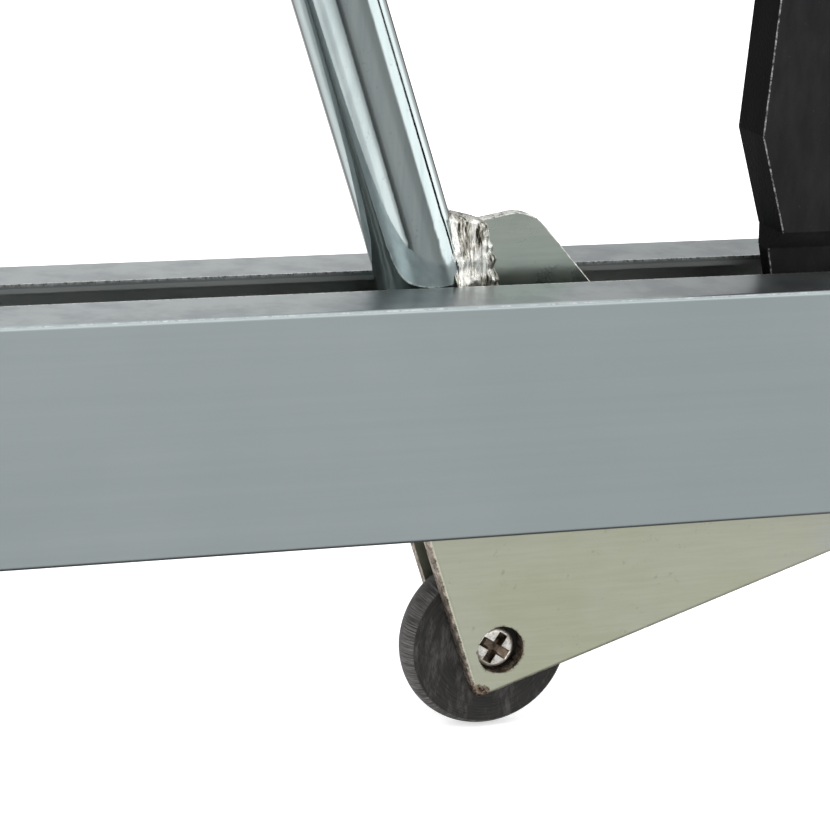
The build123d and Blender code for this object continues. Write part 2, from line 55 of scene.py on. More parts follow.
# ---- node helpers --------------------------------------------------------------------------------
class Tree:
    """A node tree, and short ways to add to it."""

    def __init__(self, tree):
        self.tree = tree

    def add(self, kind, **inputs):
        node = self.tree.nodes.new(kind)
        for key, value in inputs.items():
            node.inputs[key].default_value = value
        return node

    def link(self, source, target):
        self.tree.links.new(source, target)

    def give(self, socket, value):
        """Sets a socket to a number or a colour, or links it to another node's output."""
        if isinstance(value, (int, float)):
            socket.default_value = value
        elif isinstance(value, tuple):
            socket.default_value = (*value, 1)
        else:
            self.link(value, socket)

    def split(self, vector):
        """The x, y and z of a vector."""
        node = self.add("ShaderNodeSeparateXYZ")
        self.link(vector, node.inputs[0])
        return node.outputs

    def math(self, operation, *values):
        node = self.add("ShaderNodeMath")
        node.operation = operation
        for socket, value in zip(node.inputs, values):
            self.give(socket, value)
        return node.outputs[0]

    def change(self, value, start, end, first=0.0, last=1.0):
        """first before start, last beyond end, and a straight change from one to the other between."""
        node = self.add("ShaderNodeMapRange")
        self.link(value, node.inputs["Value"])
        for key, number in (("From Min", start), ("From Max", end), ("To Min", first), ("To Max", last)):
            node.inputs[key].default_value = number
        return node.outputs["Result"]

    def ramp(self, fac, stops):
        """A colour or grey for each (position, value), eased from one to the next."""
        node = self.add("ShaderNodeValToRGB")
        ramp = node.color_ramp
        ramp.interpolation = "EASE"
        for i, (at, value) in enumerate(stops):
            element = ramp.elements[i] if i < 2 else ramp.elements.new(at)
            element.position = at
            element.color = (*value, 1) if isinstance(value, tuple) else (value, value, value, 1)
        self.link(fac, node.inputs["Fac"])
        return node.outputs["Color"]

    def mix(self, fac, a, b, blend="MIX"):
        node = self.add("ShaderNodeMix")
        node.data_type, node.blend_type = "RGBA", blend
        for socket, value in ((node.inputs["Factor"], fac), (node.inputs[6], a), (node.inputs[7], b)):
            self.give(socket, value)
        return node.outputs[2]


class Nodes(Tree):
    """A small builder for one material's nodes."""

    def __init__(self, name):
        self.material = bpy.data.materials.new(name)
        self.material.use_nodes = True
        super().__init__(self.material.node_tree)
        self.shader = next(n for n in self.tree.nodes if n.type == "BSDF_PRINCIPLED")
        self.place = self.add("ShaderNodeTexCoord").outputs["Object"]

    def stretched(self, scale, turn=(0, 0, 0)):
        """The object's coordinates, scaled per axis."""
        node = self.add("ShaderNodeMapping", Scale=scale, Rotation=turn)
        self.link(self.place, node.inputs["Vector"])
        return node.outputs["Vector"]

    def facing(self):
        """The face's direction in the object's own frame, so that it turns with its body."""
        geometry = self.add("ShaderNodeNewGeometry")
        turn = self.add("ShaderNodeVectorTransform")
        turn.vector_type, turn.convert_from, turn.convert_to = "NORMAL", "WORLD", "OBJECT"
        self.link(geometry.outputs["True Normal"], turn.inputs[0])
        return self.split(turn.outputs[0])

    def noise(self, scale, detail, rough, vector=None):
        node = self.add("ShaderNodeTexNoise", Scale=scale, Detail=detail, Roughness=rough)
        self.link(vector or self.place, node.inputs["Vector"])
        return node.outputs["Fac"]

    def off(self, value, centre):
        """How far a value is from centre, to either side."""
        return self.math("ABSOLUTE", self.math("SUBTRACT", value, centre))

    def length(self, a, b):
        """The length of the vector with these two coordinates."""
        squares = self.math("ADD", self.math("MULTIPLY", a, a), self.math("MULTIPLY", b, b))
        return self.math("SQRT", squares)

    def from_axis(self, x, z):
        """How far from the line along Y at this x and z, or from its mirror image at -x."""
        here = self.split(self.place)
        sideways = self.math("SUBTRACT", self.math("ABSOLUTE", here[0]), x)
        return self.length(sideways, self.math("SUBTRACT", here[2], z))

    def bump(self, height, distance, strength, below=None):
        node = self.add("ShaderNodeBump", Distance=distance, Strength=strength)
        self.link(height, node.inputs["Height"])
        if below is not None:
            self.link(below, node.inputs["Normal"])
        return node.outputs["Normal"]

    def set(self, **values):
        """Sets or links the shader's inputs; underscores stand for spaces."""
        for key, value in values.items():
            self.give(self.shader.inputs[key.replace("_", " ")], value)
        return self.material


def face_mask(n, axis, low, high):
    """1 where the surface faces along this axis of the object, 0 where it faces across it."""
    size = n.math("ABSOLUTE", n.facing()[axis])
    return n.ramp(size, [(low, 0.0), (high, 1.0)])


# ---- materials -----------------------------------------------------------------------------------
def edge_wear_and_shade(n, across, across_centre, across_at, up_at, reach):
    """1 close to a profile's long edges: across is the coordinate square to its length, up its height."""
    fray, worn_to, clean_from = reach * 1.6, reach * 0.9, reach * 1.7
    here = n.split(n.place)
    side = n.off(n.math("ABSOLUTE", here[across]), across_centre)
    nearest = n.math("MAXIMUM", n.off(side, across_at), n.off(here[2], up_at))
    ragged = n.math("MULTIPLY", n.noise(420.0, 4.0, 0.7), fray)
    return n.change(n.math("ADD", nearest, ragged), worn_to, clean_from, 1.0, 0.0)


def inside_profile(n, across, across_centre, top):
    """1 on the walls inside a profile, below its lips and within its webs, which are given painted light.
    """
    here = n.split(n.place)
    side = n.off(n.math("ABSOLUTE", here[across]), across_centre)
    within = n.math("LESS_THAN", side, PROFILE_HALF - WALL / 2)
    return n.math("MULTIPLY", within, n.math("LESS_THAN", here[2], top - WALL / 2))


def zinc_profile(name, grain, across, across_centre, bottom, top):
    """Satin zinc on a rolled profile: faint cloudiness, fine drawn lines along it, edges rubbed bright,
    painted shade along its bottom edges and painted light on the walls inside it.
    """
    n = Nodes(name)
    cloud = n.noise(9.0, 5.0, 0.6)
    lines = n.noise(1.0, 6.0, 0.7, n.stretched(grain))
    spots = n.noise(520.0, 3.0, 0.7)
    base = n.ramp(cloud, [(0.3, (0.372, 0.424, 0.432)), (0.72, (0.408, 0.458, 0.465))])
    lined = n.mix(0.05, base, n.ramp(lines, [(0.3, (0.22, 0.25, 0.26)), (0.7, (0.58, 0.62, 0.62))]))
    colour = n.mix(n.ramp(spots, [(0.68, 0.0), (0.8, 0.2)]), lined, (0.46, 0.49, 0.48))
    rubbed = n.ramp(n.noise(900.0, 4.0, 0.75), [(0.38, (0.26, 0.27, 0.25)), (0.56, (0.85, 0.86, 0.84))])
    blotch = n.ramp(n.noise(75.0, 5.0, 0.65), [(0.36, (0.29, 0.315, 0.33)), (0.62, (0.42, 0.455, 0.46))])
    colour = n.mix(n.math("MULTIPLY", face_mask(n, 2, 0.8, 0.98), 0.85), colour, blotch)
    for at, reach in ((PROFILE_HALF, 0.00046), (SLOT_HALF, 0.00075)):
        colour = n.mix(edge_wear_and_shade(n, across, across_centre, at, top, reach), colour, rubbed)
    # Painted shade: a thin dark line along the profile's bottom long edges.
    shaded_bottom_edge = edge_wear_and_shade(n, across, across_centre, PROFILE_HALF, bottom, 0.00022)
    colour = n.mix(shaded_bottom_edge, colour, (0.13, 0.12, 0.10))
    # Painted light: the walls inside the profile are coloured a lighter grey than its outside.
    colour = n.mix(inside_profile(n, across, across_centre, top), colour, (0.62, 0.65, 0.64))
    rough = n.ramp(cloud, [(0.3, 0.30), (0.7, 0.40)])
    height = n.math("ADD", n.math("MULTIPLY", lines, 0.6), n.math("MULTIPLY", spots, 0.4))
    return n.set(Base_Color=colour, Metallic=1.0, Roughness=rough, Normal=n.bump(height, 0.00004, 0.4))


def zinc_tube(name, along, dull_below=-1.0):
    """Bright zinc on a drawn tube: long streaks, small pits, and a duller skin near the welded foot.

    The skin is dullest below the height dull_below, and bright again from fade above it.
    """
    fade, foot_rough = 0.012, 0.2
    n = Nodes(name)
    cloud = n.noise(14.0, 4.0, 0.55)
    streak = n.noise(1.0, 5.0, 0.65, n.stretched(*along))
    pits = n.noise(900.0, 2.0, 0.6)
    base = n.ramp(streak, [(0.3, (0.245, 0.288, 0.290)), (0.7, (0.305, 0.345, 0.345))])
    marked = n.mix(n.ramp(pits, [(0.62, 0.0), (0.8, 0.4)]), base, (0.17, 0.20, 0.205))
    rough = n.ramp(cloud, [(0.3, 0.075), (0.75, 0.14)])
    near_foot = n.change(n.split(n.place)[2], dull_below, dull_below + fade, foot_rough, 0.0)
    rough = n.math("MAXIMUM", rough, near_foot)
    height = n.math("ADD", n.math("MULTIPLY", streak, 0.8), n.math("MULTIPLY", pits, 0.2))
    return n.set(Base_Color=marked, Metallic=1.0, Roughness=rough, Normal=n.bump(height, 0.00006, 0.3))


def plated_sheet(name, flat_axis, tints, edge_tints, cloud_scale=22.0, stains=(), bent=False,
                 dull=(0.34, 0.46)):
    """Passivated sheet: mottled faces with faint rolling marks, and rough sheared edges, browned on most
    sheets and bright with a painted highlight on the gusset.

    flat_axis is the axis the faces look along; for bent sheet it is the one its cut edges look along.
    stains are the (x, z, reach) of spots, mirrored in X, where the plating is chipped and rusted.
    dull is how rough its faces are, from the least to the most.
    """
    # A ramp runs from 0 to 1, so distances are given to it in centimetres.
    per_metre, raggedness, border = 100.0, 0.0035, 0.06
    n = Nodes(name)
    cloud = n.noise(cloud_scale, 5.0, 0.62)
    rolling = n.noise(1.0, 5.0, 0.7, n.stretched((60.0, 60.0, 900.0), (0, 0.3, 0)))
    grit = n.noise(1500.0, 3.0, 0.7)
    specks = n.noise(340.0, 4.0, 0.7)
    face = n.ramp(cloud, [(0.32, tints[0]), (0.5, tints[1]), (0.7, tints[2])])
    face = n.mix(0.06, face, n.ramp(rolling, [(0.35, (0.2, 0.2, 0.17)), (0.65, (0.72, 0.72, 0.66))]))
    face = n.mix(n.ramp(specks, [(0.62, 0.0), (0.72, 0.4)]), face, (0.26, 0.255, 0.21))
    torn = n.noise(620.0, 6.0, 0.8)
    edge = n.ramp(torn, [(0.38, edge_tints[0]), (0.48, edge_tints[1]), (0.62, edge_tints[2])])
    flat = face_mask(n, flat_axis, 0.55, 0.995)
    if bent:
        flat = n.math("SUBTRACT", 1.0, flat)
    grain = n.ramp(n.noise(1300.0, 4.0, 0.8), [(0.42, 0.0), (0.60, 1.0)])
    grainy = n.math("ADD", n.math("MULTIPLY", flat, 1.6), n.math("MULTIPLY", grain, 0.5))
    whole = n.math("GREATER_THAN", grainy, 1.35)
    colour = n.mix(whole, edge, face)
    rust = n.ramp(n.noise(1600.0, 4.0, 0.8), [(0.4, (0.035, 0.022, 0.015)), (0.62, (0.34, 0.27, 0.20))])
    for x, z, reach in stains:
        away = n.math("ADD", n.from_axis(x, z), n.math("MULTIPLY", torn, raggedness))
        rim = reach * per_metre
        near = n.ramp(n.math("MULTIPLY", away, per_metre), [(rim, 1.0), (rim + border, 0.0)])
        colour = n.mix(near, colour, rust)
    rough = n.mix(flat, (0.5, 0.5, 0.5), n.ramp(cloud, [(0.3, dull[0]), (0.7, dull[1])]))
    fine = n.bump(grit, 0.00004, 0.3)
    depth = n.math("MULTIPLY", torn, n.math("SUBTRACT", 1.0, flat))
    return n.set(Base_Color=colour, Metallic=1.0, Roughness=rough, Normal=n.bump(depth, 0.0005, 0.8, fine))


def fastener(name):
    """Bright zinc fasteners, dull and grimy in their low spots."""
    n = Nodes(name)
    worn = n.noise(700.0, 5.0, 0.75)
    cloud = n.noise(120.0, 3.0, 0.6)
    colour = n.mix(n.ramp(worn, [(0.56, 0.0), (0.68, 0.8)]), (0.74, 0.73, 0.69), (0.22, 0.19, 0.15))
    rough = n.ramp(cloud, [(0.3, 0.22), (0.7, 0.4)])
    return n.set(Base_Color=colour, Metallic=1.0, Roughness=rough, Normal=n.bump(worn, 0.00012, 0.5))


def screw_head(name, axis_x, axis_z, middle_y, face_off):
    """The shoe screws: bright heads, and a cross recess coloured a dark brown.

    The dark colour lies deeper than dark_depth below the head's top, and within dark_reach of its axis.
    """
    dark_depth, dark_reach = 0.00022, 0.0041
    n = Nodes(name)
    out = n.math("SUBTRACT", n.math("ABSOLUTE", n.split(n.place)[1]), middle_y)
    low = n.math("LESS_THAN", out, face_off - dark_depth)
    inner = n.math("LESS_THAN", n.from_axis(axis_x, axis_z), dark_reach)
    worn = n.noise(1100.0, 5.0, 0.75)
    broad = n.noise(430.0, 4.0, 0.7)
    clean = ((0.34, (0.25, 0.22, 0.17)), (0.46, (0.70, 0.68, 0.62)), (0.62, (0.92, 0.91, 0.87)))
    recess_tints = ((0.35, (0.045, 0.032, 0.022)), (0.55, (0.16, 0.125, 0.095)), (0.7, (0.42, 0.37, 0.32)))
    colour = n.mix(n.math("MULTIPLY", low, inner), n.ramp(worn, clean), n.ramp(broad, recess_tints))
    rough = n.ramp(worn, [(0.3, 0.5), (0.7, 0.28)])
    return n.set(Base_Color=colour, Metallic=1.0, Roughness=rough, Normal=n.bump(worn, 0.0002, 0.6))


def moulded_plastic(name, grey, low, high, gloss=0.3, rubbed_edges_and_shaded_sides=False):
    """Moulded plastic: a fine leathery grain with dust in it, and scuffs that shine a little.

    low and high are its least and greatest roughness. rubbed_edges_and_shaded_sides chalks the 45 degree
    bevels, and paints shade on the sides that face along X.
    """
    bevel = 0.707
    n = Nodes(name)
    grain = n.add("ShaderNodeTexVoronoi", Scale=1400.0)
    n.link(n.place, grain.inputs["Vector"])
    scuff = n.noise(1.0, 4.0, 0.7, n.stretched((90.0, 90.0, 30.0)))
    dust = n.noise(1300.0, 3.0, 0.75)
    colour = n.ramp(scuff, [(0.35, (grey * 0.85,) * 3), (0.7, (grey * 1.3,) * 3)])
    colour = n.mix(n.ramp(dust, [(0.66, 0.0), (0.78, 0.3)]), colour, (0.09, 0.09, 0.09))
    if rubbed_edges_and_shaded_sides:
        size_x, size_y = (n.math("ABSOLUTE", size) for size in n.facing()[:2])
        slant = n.off(size_y, bevel)
        sideways = n.math("GREATER_THAN", size_x, 0.5)
        on_edge = n.math("MULTIPLY", n.ramp(slant, [(0.05, 1.0), (0.12, 0.0)]), sideways)
        # Painted shade: the sides that face along X are darkened to a quarter of the grey.
        colour = n.mix(n.math("GREATER_THAN", size_x, 0.9), colour, (grey * 0.25,) * 3)
        chalk = n.ramp(n.noise(800.0, 5.0, 0.8), [(0.40, (0.02, 0.02, 0.02)), (0.66, (0.34, 0.34, 0.34))])
        colour = n.mix(on_edge, colour, chalk)
    rough = n.ramp(scuff, [(0.3, high), (0.72, low)])
    n.set(Base_Color=colour, Roughness=rough, Normal=n.bump(grain.outputs["Distance"], 0.00018, 0.35))
    return n.set(Specular_IOR_Level=gloss)


def turned_roller(name, centre):
    """Black roller, lathe-turned: faint rings on its faces, fine ticks across its lighter tread."""
    ring_scale, ring_turn, tick_turn, tick_scale = 3400.0, 2.2, 95.0, 160.0
    n = Nodes(name)
    moved = n.add("ShaderNodeMapping", Location=(-centre.x, -centre.y, -centre.z))
    n.link(n.place, moved.inputs["Vector"])
    x, y, z = n.split(moved.outputs["Vector"])
    turn = n.math("ARCTAN2", z, x)
    patterns = []
    ring_pattern = (n.length(x, z), ring_scale, turn, ring_turn)
    tick_pattern = (turn, tick_turn, y, tick_scale)
    for a, a_scale, b, b_scale in (ring_pattern, tick_pattern):
        at = n.add("ShaderNodeCombineXYZ")
        n.link(n.math("MULTIPLY", a, a_scale), at.inputs[0])
        n.link(n.math("MULTIPLY", b, b_scale), at.inputs[1])
        patterns.append(n.noise(1.0, 5.0, 0.75, at.outputs[0]))
    rings, ticks = patterns
    flat = face_mask(n, 1, 0.6, 0.9)
    smear = n.noise(330.0, 6.0, 0.75, n.stretched((1.0, 1.0, 0.3), (0, 0.6, 0)))
    face = n.ramp(rings, [(0.3, (0.005, 0.0048, 0.0045)), (0.75, (0.025, 0.0235, 0.022))])
    face = n.mix(n.ramp(smear, [(0.48, 0.0), (0.72, 0.65)]), face, (0.085, 0.080, 0.075))
    tread = n.ramp(ticks, [(0.38, (0.012, 0.0115, 0.011)), (0.68, (0.15, 0.14, 0.135))])
    colour = n.mix(flat, tread, face)
    rough = n.ramp(smear, [(0.3, 0.6), (0.7, 0.45)])
    height = n.mix(flat, ticks, rings)
    n.set(Base_Color=colour, Roughness=rough, Normal=n.bump(height, 0.00015, 0.4))
    return n.set(Specular_IOR_Level=0.3)


def weld_metal(name):
    """A plated weld: bright crests with fine upright ridges, and a few brown-black pits."""
    n = Nodes(name)
    fine = n.noise(1.0, 5.0, 0.75, n.stretched((1500.0, 1500.0, 200.0)))
    broad = n.noise(1.0, 4.0, 0.7, n.stretched((420.0, 420.0, 110.0)))
    both = n.math("ADD", n.math("MULTIPLY", fine, 0.45), n.math("MULTIPLY", broad, 0.55))
    tints = ((0.42, (0.03, 0.025, 0.02)), (0.47, (0.40, 0.385, 0.33)), (0.54, (0.88, 0.88, 0.84)))
    colour = n.ramp(both, tints)
    rough = n.ramp(both, [(0.4, 0.5), (0.6, 0.24)])
    return n.set(Base_Color=colour, Metallic=1.0, Roughness=rough, Normal=n.bump(both, 0.0004, 0.8))


# ---- assign materials to the CAD nodes -----------------------------------------------------------
def paint(node, material):
    """Gives the whole of a CAD node one material."""
    obj = frame["nodes"][node]
    obj.data.materials.clear()
    obj.data.materials.append(material)
    for polygon in obj.data.polygons:
        polygon.material_index = 0


# Streak patterns, as a scale per axis and a turn: fine across a tube and long along it.
LEAN_RIGHT = ((220.0, 220.0, 7.0), (0, -LEAN, 0))
LEAN_LEFT = ((220.0, 220.0, 7.0), (0, LEAN, 0))
LEVEL = ((7.0, 220.0, 220.0), (0, 0, 0))
# Tints of plated sheet at low, middle and high noise: PALE and SLATE for faces, TORN for browned cut edges,
# and the last a painted highlight along the gusset's cut edges.
PALE = ((0.49, 0.515, 0.375), (0.525, 0.542, 0.43), (0.51, 0.53, 0.49))
SLATE = ((0.305, 0.354, 0.316), (0.35, 0.395, 0.354), (0.38, 0.414, 0.377))
TORN = ((0.05, 0.04, 0.032), (0.30, 0.25, 0.205), (0.66, 0.58, 0.50))
HIGHLIGHT_EDGE_TINTS = ((0.10, 0.10, 0.09), (0.55, 0.56, 0.52), (0.9, 0.9, 0.87))
rail_lo, rail_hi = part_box("rail_front")
beam_lo, beam_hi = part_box("beam")
mid_y = abs(rail_lo[1] + rail_hi[1]) / 2
steel_x = zinc_profile("zinc_profile_rails", (3.0, 300.0, 300.0), 1, mid_y, rail_lo[2], rail_hi[2])
steel_y = zinc_profile("zinc_profile_beam", (300.0, 3.0, 300.0), 0, 0.0, beam_lo[2], beam_hi[2])
tube_right = zinc_tube("zinc_tube_roller_side", LEAN_RIGHT, rail_hi[2])
tube_left = zinc_tube("zinc_tube_foot_side", LEAN_LEFT, rail_hi[2])
tube_level = zinc_tube("zinc_tube_level", LEVEL)
shoe_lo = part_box("roller_shoe_outer_front")[0]
SHOE_CORNER_X = LEG_FOOT_X - 0.0037
axle = sum((Vector(c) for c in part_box("roller_front")), Vector()) / 2
shoe_stains = ((SHOE_CORNER_X, shoe_lo[2], 0.0046), (axle.x + 0.0009, axle.z - 0.0001, 0.0069))
plate_xz = plated_sheet("passivated_plate", 1, PALE, TORN, stains=shoe_stains)
plate_yz = plated_sheet("passivated_lock_plate", 0, PALE, TORN)
plate_bent = plated_sheet("passivated_bracket", 1, PALE, TORN, bent=True)
# The gusset's cut edges get a painted highlight.
gusset_sheet = plated_sheet("passivated_gusset", 1, SLATE, HIGHLIGHT_EDGE_TINTS, 60.0, dull=(0.24, 0.34))
bright = fastener("bright_fastener")
plastic = moulded_plastic("black_plastic", 0.014, 0.4, 0.52)
lever_plastic = moulded_plastic("black_lever", 0.0145, 0.5, 0.6, 0.02, True)
rubber = moulded_plastic("black_rubber", 0.016, 0.6, 0.8)
weld = weld_metal("weld_metal")

BY_SLOT = {
    "zinc_profile": steel_x, "zinc_tube": tube_level, "passivated_plate": plate_xz,
    "bright_fastener": bright, "black_plastic": plastic, "black_rubber": rubber, "roller_black": plastic}
for part in frame["record"]["subparts"]:
    paint(part["node"], BY_SLOT[part["material_slot"]])
paint("beam", steel_y)
for end in ENDS:
    paint(f"leg_tube_roller_side_{end}", tube_right)
    paint(f"leg_tube_foot_side_{end}", tube_left)
    paint(f"hinge_bracket_{end}", plate_bent)
    paint(f"lock_plate_{end}", plate_yz)
    paint(f"gusset_roller_side_{end}", gusset_sheet)
    paint(f"gusset_foot_side_{end}", gusset_sheet)
    paint(f"brake_lever_{end}", lever_plastic)
    lo, hi = (Vector(c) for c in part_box(f"roller_{end}"))
    paint(f"roller_{end}", turned_roller(f"roller_black_{end}", (lo + hi) / 2))
head_face = -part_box("shoe_screws_front")[0][1] - mid_y
paint("shoe_screws_front", screw_head("screw_head", axle.x, axle.z, mid_y, head_face))
paint("shoe_screws_rear", frame["nodes"]["shoe_screws_front"].data.materials[0])


# ---- smooth shading ------------------------------------------------------------------------------
# The bend, in degrees, from which an edge is sharp.
CAD_EDGE = 32
WELD_EDGE = 50


def shade(obj, degrees):
    """Smooth shading, except over edges that bend by more than this."""
    for polygon in obj.data.polygons:
        polygon.use_smooth = True
    obj.data.set_sharp_from_angle(angle=math.radians(degrees))


# ---- welds ---------------------------------------------------------------------------------------
def lumps(point, seed):
    """Uneven weld metal at a point: how far it stands off, in metres."""
    broad_height, ridge_height = 0.00030, 0.00036
    shifted = point + Vector((seed * 0.37, seed * 0.11, seed * 0.23))
    broad = noise.fractal(shifted * 300.0, 0.9, 2.0, 2)
    ridges = noise.fractal(Vector((shifted.x * 1000.0, shifted.y * 700.0, shifted.z * 110.0)), 0.8, 2.0, 2)
    return broad_height * broad + ridge_height * ridges


def add_rings(name, rings, closed, body, material):
    """A mesh skinned over rings of points, capped at both ends unless it closes on itself."""
    mesh = bpy.data.meshes.new(name)
    bm = bmesh.new()
    rows = [[bm.verts.new(p) for p in ring] for ring in rings]
    count = len(rows[0])
    spans = len(rows) if closed else len(rows) - 1
    for i in range(spans):
        a, b = rows[i], rows[(i + 1) % len(rows)]
        for k in range(count):
            bm.faces.new((a[k], a[(k + 1) % count], b[(k + 1) % count], b[k]))
    if not closed:
        bm.faces.new(rows[0])
        bm.faces.new(rows[-1])
    bmesh.ops.recalc_face_normals(bm, faces=bm.faces)
    bm.to_mesh(mesh)
    bm.free()
    mesh.materials.append(material)
    obj = bpy.data.objects.new(name, mesh)
    bpy.context.scene.collection.objects.link(obj)
    shade(obj, WELD_EDGE)
    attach(obj, body)
    return obj


def circle(count):
    """The cosine and sine of this many even turns."""
    turns = [2 * math.pi * k / count for k in range(count)]
    return [(math.cos(turn), math.sin(turn)) for turn in turns]


def bead(name, path, radius, seed, body):
    """A closed weld bead round a joint: a lumpy ring with ripples along it."""
    around, count, ripples_apart, ripple_size, lumpiness = 10, len(path), 4, 0.10, 0.7
    # A direction askew to the joints, to square a bead's cross-section up on.
    askew = Vector((0.13, 0.29, 0.95))
    rings = []
    for i, centre in enumerate(path):
        ahead = (path[(i + 1) % count] - path[i - 1]).normalized()
        side = ahead.cross(askew).normalized()
        up = side.cross(ahead)
        ripple = 1.0 + ripple_size * math.sin(i * 2 * math.pi / ripples_apart)
        ring = []
        for cosine, sine in circle(around):
            out = side * cosine + up * sine
            point = centre + out * radius * ripple
            ring.append(point + out * lumpiness * lumps(point, seed))
        rings.append(ring)
    return add_rings(name, rings, True, body, weld)


def gusset_weld(end, side, word, seed):
    """The heavy fillet that fills the corner between a leg and its gusset, on both faces."""
    y = mid_y * (-1 if end == "front" else 1)
    rail_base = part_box("rail_front")[0][2]
    foot_x = side * LEG_FOOT_X
    # Heights are above the rail's underside; the weld widens upwards and falls away towards its toe.
    low, high, narrow, width, fall = 0.0370, 0.0668, 0.0050, 0.0086, 0.0028
    dome_from, dome_share, dome_least, dome_rest, wander_size = 0.92, 0.08, 0.35, 0.65, 0.12
    inset_top, inset_more = 0.0034, 0.0030
    hollow_top, hollow_more, hollow_curve = 0.0046, 0.0038, 0.85
    least_proud, toe_height, toe_at, toe_spread = 0.0013, 0.0013, 0.80, 0.16
    thin_least, thin_rest = 0.25, 0.75
    steps, across = 150, 44
    rings = []
    for i in range(steps + 1):
        share = i / steps
        level = low + (high - low) * share
        top = max(0.0, (share - dome_from) / dome_share)
        dome = math.sqrt(1.0 - top * top)
        wander = noise.noise(Vector((0, seed * 3.1, level * 420.0)))
        domed = dome_least + dome_rest * dome
        reach = (narrow + (width - narrow) * share) * domed * (1.0 + wander_size * wander)
        inset = inset_top + inset_more * (1.0 - share)
        thin = thin_least + thin_rest * dome
        ring = []
        for k in range(2 * across):
            v = k / across if k < across else (2 * across - k) / across
            face = -1 if k < across else 1
            height = level - fall * v * share ** 3
            edge = TUBE_R / math.cos(LEAN) - height * math.tan(LEAN)
            hollow = (hollow_top + hollow_more * (1.0 - share)) * (1.0 - v) ** hollow_curve
            toe = toe_height * math.exp(-((v - toe_at) / toe_spread) ** 2)
            proud = 0.0 if v > 0.999 else least_proud + hollow + toe
            x = edge - inset + (reach + inset) * v
            point = Vector((foot_x + side * x, y + face * proud * thin, rail_base + height))
            push = Vector((side * (0.15 + 0.8 * v), face, 0.3 * share)).normalized()
            ring.append(point + push * lumps(point, seed))
        rings.append(ring)
    return add_rings(f"gusset_weld_{word}_{end}", rings, False, f"end_frame_{end}", weld)


def leg_point(end, side, along):
    """A point on a leg's axis, this far up it from the rail's underside."""
    y = mid_y * (-1 if end == "front" else 1)
    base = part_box("rail_front")[0][2]
    return Vector((side * (LEG_FOOT_X - along * math.sin(LEAN)), y, base + along * math.cos(LEAN)))


def frame_welds(end, seed):
    """The beads where a frame's crossbar meets its legs, and its legs and lock plate meet the barrel."""
    sunk, off_plate = 0.0004, 0.0002
    crossbar_bead, barrel_bead, plate_bead = 0.0016, 0.0018, 0.0014
    body = f"end_frame_{end}"
    bar_lo, bar_hi = (Vector(c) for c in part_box(f"crossbar_{end}"))
    top_lo, top_hi = (Vector(c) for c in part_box(f"pivot_barrel_{end}"))
    bar, barrel = (bar_lo + bar_hi) / 2, (top_lo + top_hi) / 2
    barrel_r = (top_hi.z - top_lo.z) / 2
    for side, word in SIDES:
        axis = Vector((-side * math.sin(LEAN), 0, math.cos(LEAN)))
        out = Vector((side * math.cos(LEAN), 0, math.sin(LEAN)))
        foot = leg_point(end, side, 0.0)
        ring = []
        for cosine, sine in circle(64):
            dy, dz = TUBE_R * cosine, TUBE_R * sine
            inward = -(abs(dz) + sunk)
            z = bar.z + dz
            x = foot.x + side * inward / math.cos(LEAN) - side * (z - foot.z) * math.tan(LEAN)
            ring.append(Vector((x, bar.y + dy, z)))
        bead(f"crossbar_weld_{word}_{end}", ring, crossbar_bead, seed + side, body)
        ring = []
        for cosine, sine in circle(64):
            dy = TUBE_R * sine
            at_z = barrel.z - math.sqrt(barrel_r ** 2 - dy ** 2)
            around = out * TUBE_R * cosine
            along = (at_z - foot.z - around.z) / axis.z
            ring.append(foot + axis * along + around + Vector((0, dy, 0)))
        bead(f"barrel_weld_{word}_{end}", ring, barrel_bead, seed + 5 + side, body)
    plate_lo = Vector(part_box(f"lock_plate_{end}")[0])
    x = plate_lo.x - off_plate
    ring = []
    for cosine, sine in circle(96):
        ring.append(Vector((x, barrel.y + barrel_r * cosine, barrel.z + barrel_r * sine)))
    bead(f"lock_plate_weld_{end}", ring, plate_bead, seed + 9, body)


for node in frame["nodes"].values():
    shade(node, CAD_EDGE)
for number, end in enumerate(ENDS):
    seed = number * 20
    for which, (side, word) in enumerate(SIDES):
        gusset_weld(end, side, word, seed + 1 + which)
    frame_welds(end, seed + 3)


# ---- camera, floor and light ---------------------------------------------------------------------
def set_camera():
    """A long lens, low over the front rail's roller corner, from the left."""
    from_corner = Vector((-0.26066, -0.61519, 0.21314))
    rail = Vector(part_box("rail_front")[0])
    wheel_lo, wheel_hi = (Vector(c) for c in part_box("roller_front"))
    corner = Vector(((wheel_lo.x + wheel_hi.x) / 2, rail.y, rail.z))
    place = corner + from_corner
    lean, down, roll = math.radians(20.70), math.radians(15.71), math.radians(2.64)
    ahead = Vector((math.cos(down) * math.sin(lean), math.cos(down) * math.cos(lean), -math.sin(down)))
    right = Vector((math.cos(lean), -math.sin(lean), 0))
    up = right.cross(ahead)
    turned_right = right * math.cos(roll) + up * math.sin(roll)
    turned_up = up * math.cos(roll) - right * math.sin(roll)
    data = bpy.data.cameras.new("camera")
    data.lens = 143.1
    data.sensor_width = 36.0
    data.clip_start, data.clip_end = 0.01, 60.0
    camera = bpy.data.objects.new("camera", data)
    bpy.context.scene.collection.objects.link(camera)
    turn = Matrix((turned_right, turned_up, -ahead)).transposed()
    camera.matrix_world = Matrix.Translation(place) @ turn.to_4x4()
    bpy.context.scene.camera = camera


